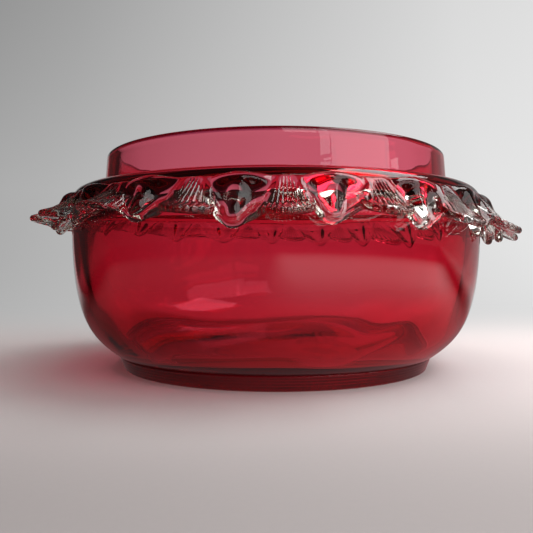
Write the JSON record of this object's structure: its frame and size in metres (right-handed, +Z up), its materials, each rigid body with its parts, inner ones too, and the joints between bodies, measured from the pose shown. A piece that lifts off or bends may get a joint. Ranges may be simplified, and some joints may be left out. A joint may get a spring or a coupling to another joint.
{
  "type": "glass bowl",
  "caption": "Low round blown-glass bowl in cranberry red with an upright collar, a foot ring and a clear crimped frill round its shoulder; it holds flowers, sugar or sweets.",
  "frame": {"origin": "on the table under the middle of the bowl", "axes": "+Z up out of the mouth, -Y towards the front of the bowl, +X to the right seen from the front"},
  "size_m": [0.1413, 0.1409, 0.0611],
  "materials": {
    "ruby_glass": "fire-polished, transparent ruby, with a ground rim",
    "clear_glass": "fire-polished, colourless and transparent"
  },
  "bodies": {
    "root": {"bowl": "ruby_glass", "foot_ring": "ruby_glass", "frill": "clear_glass"}
  },
  "joints": []
}
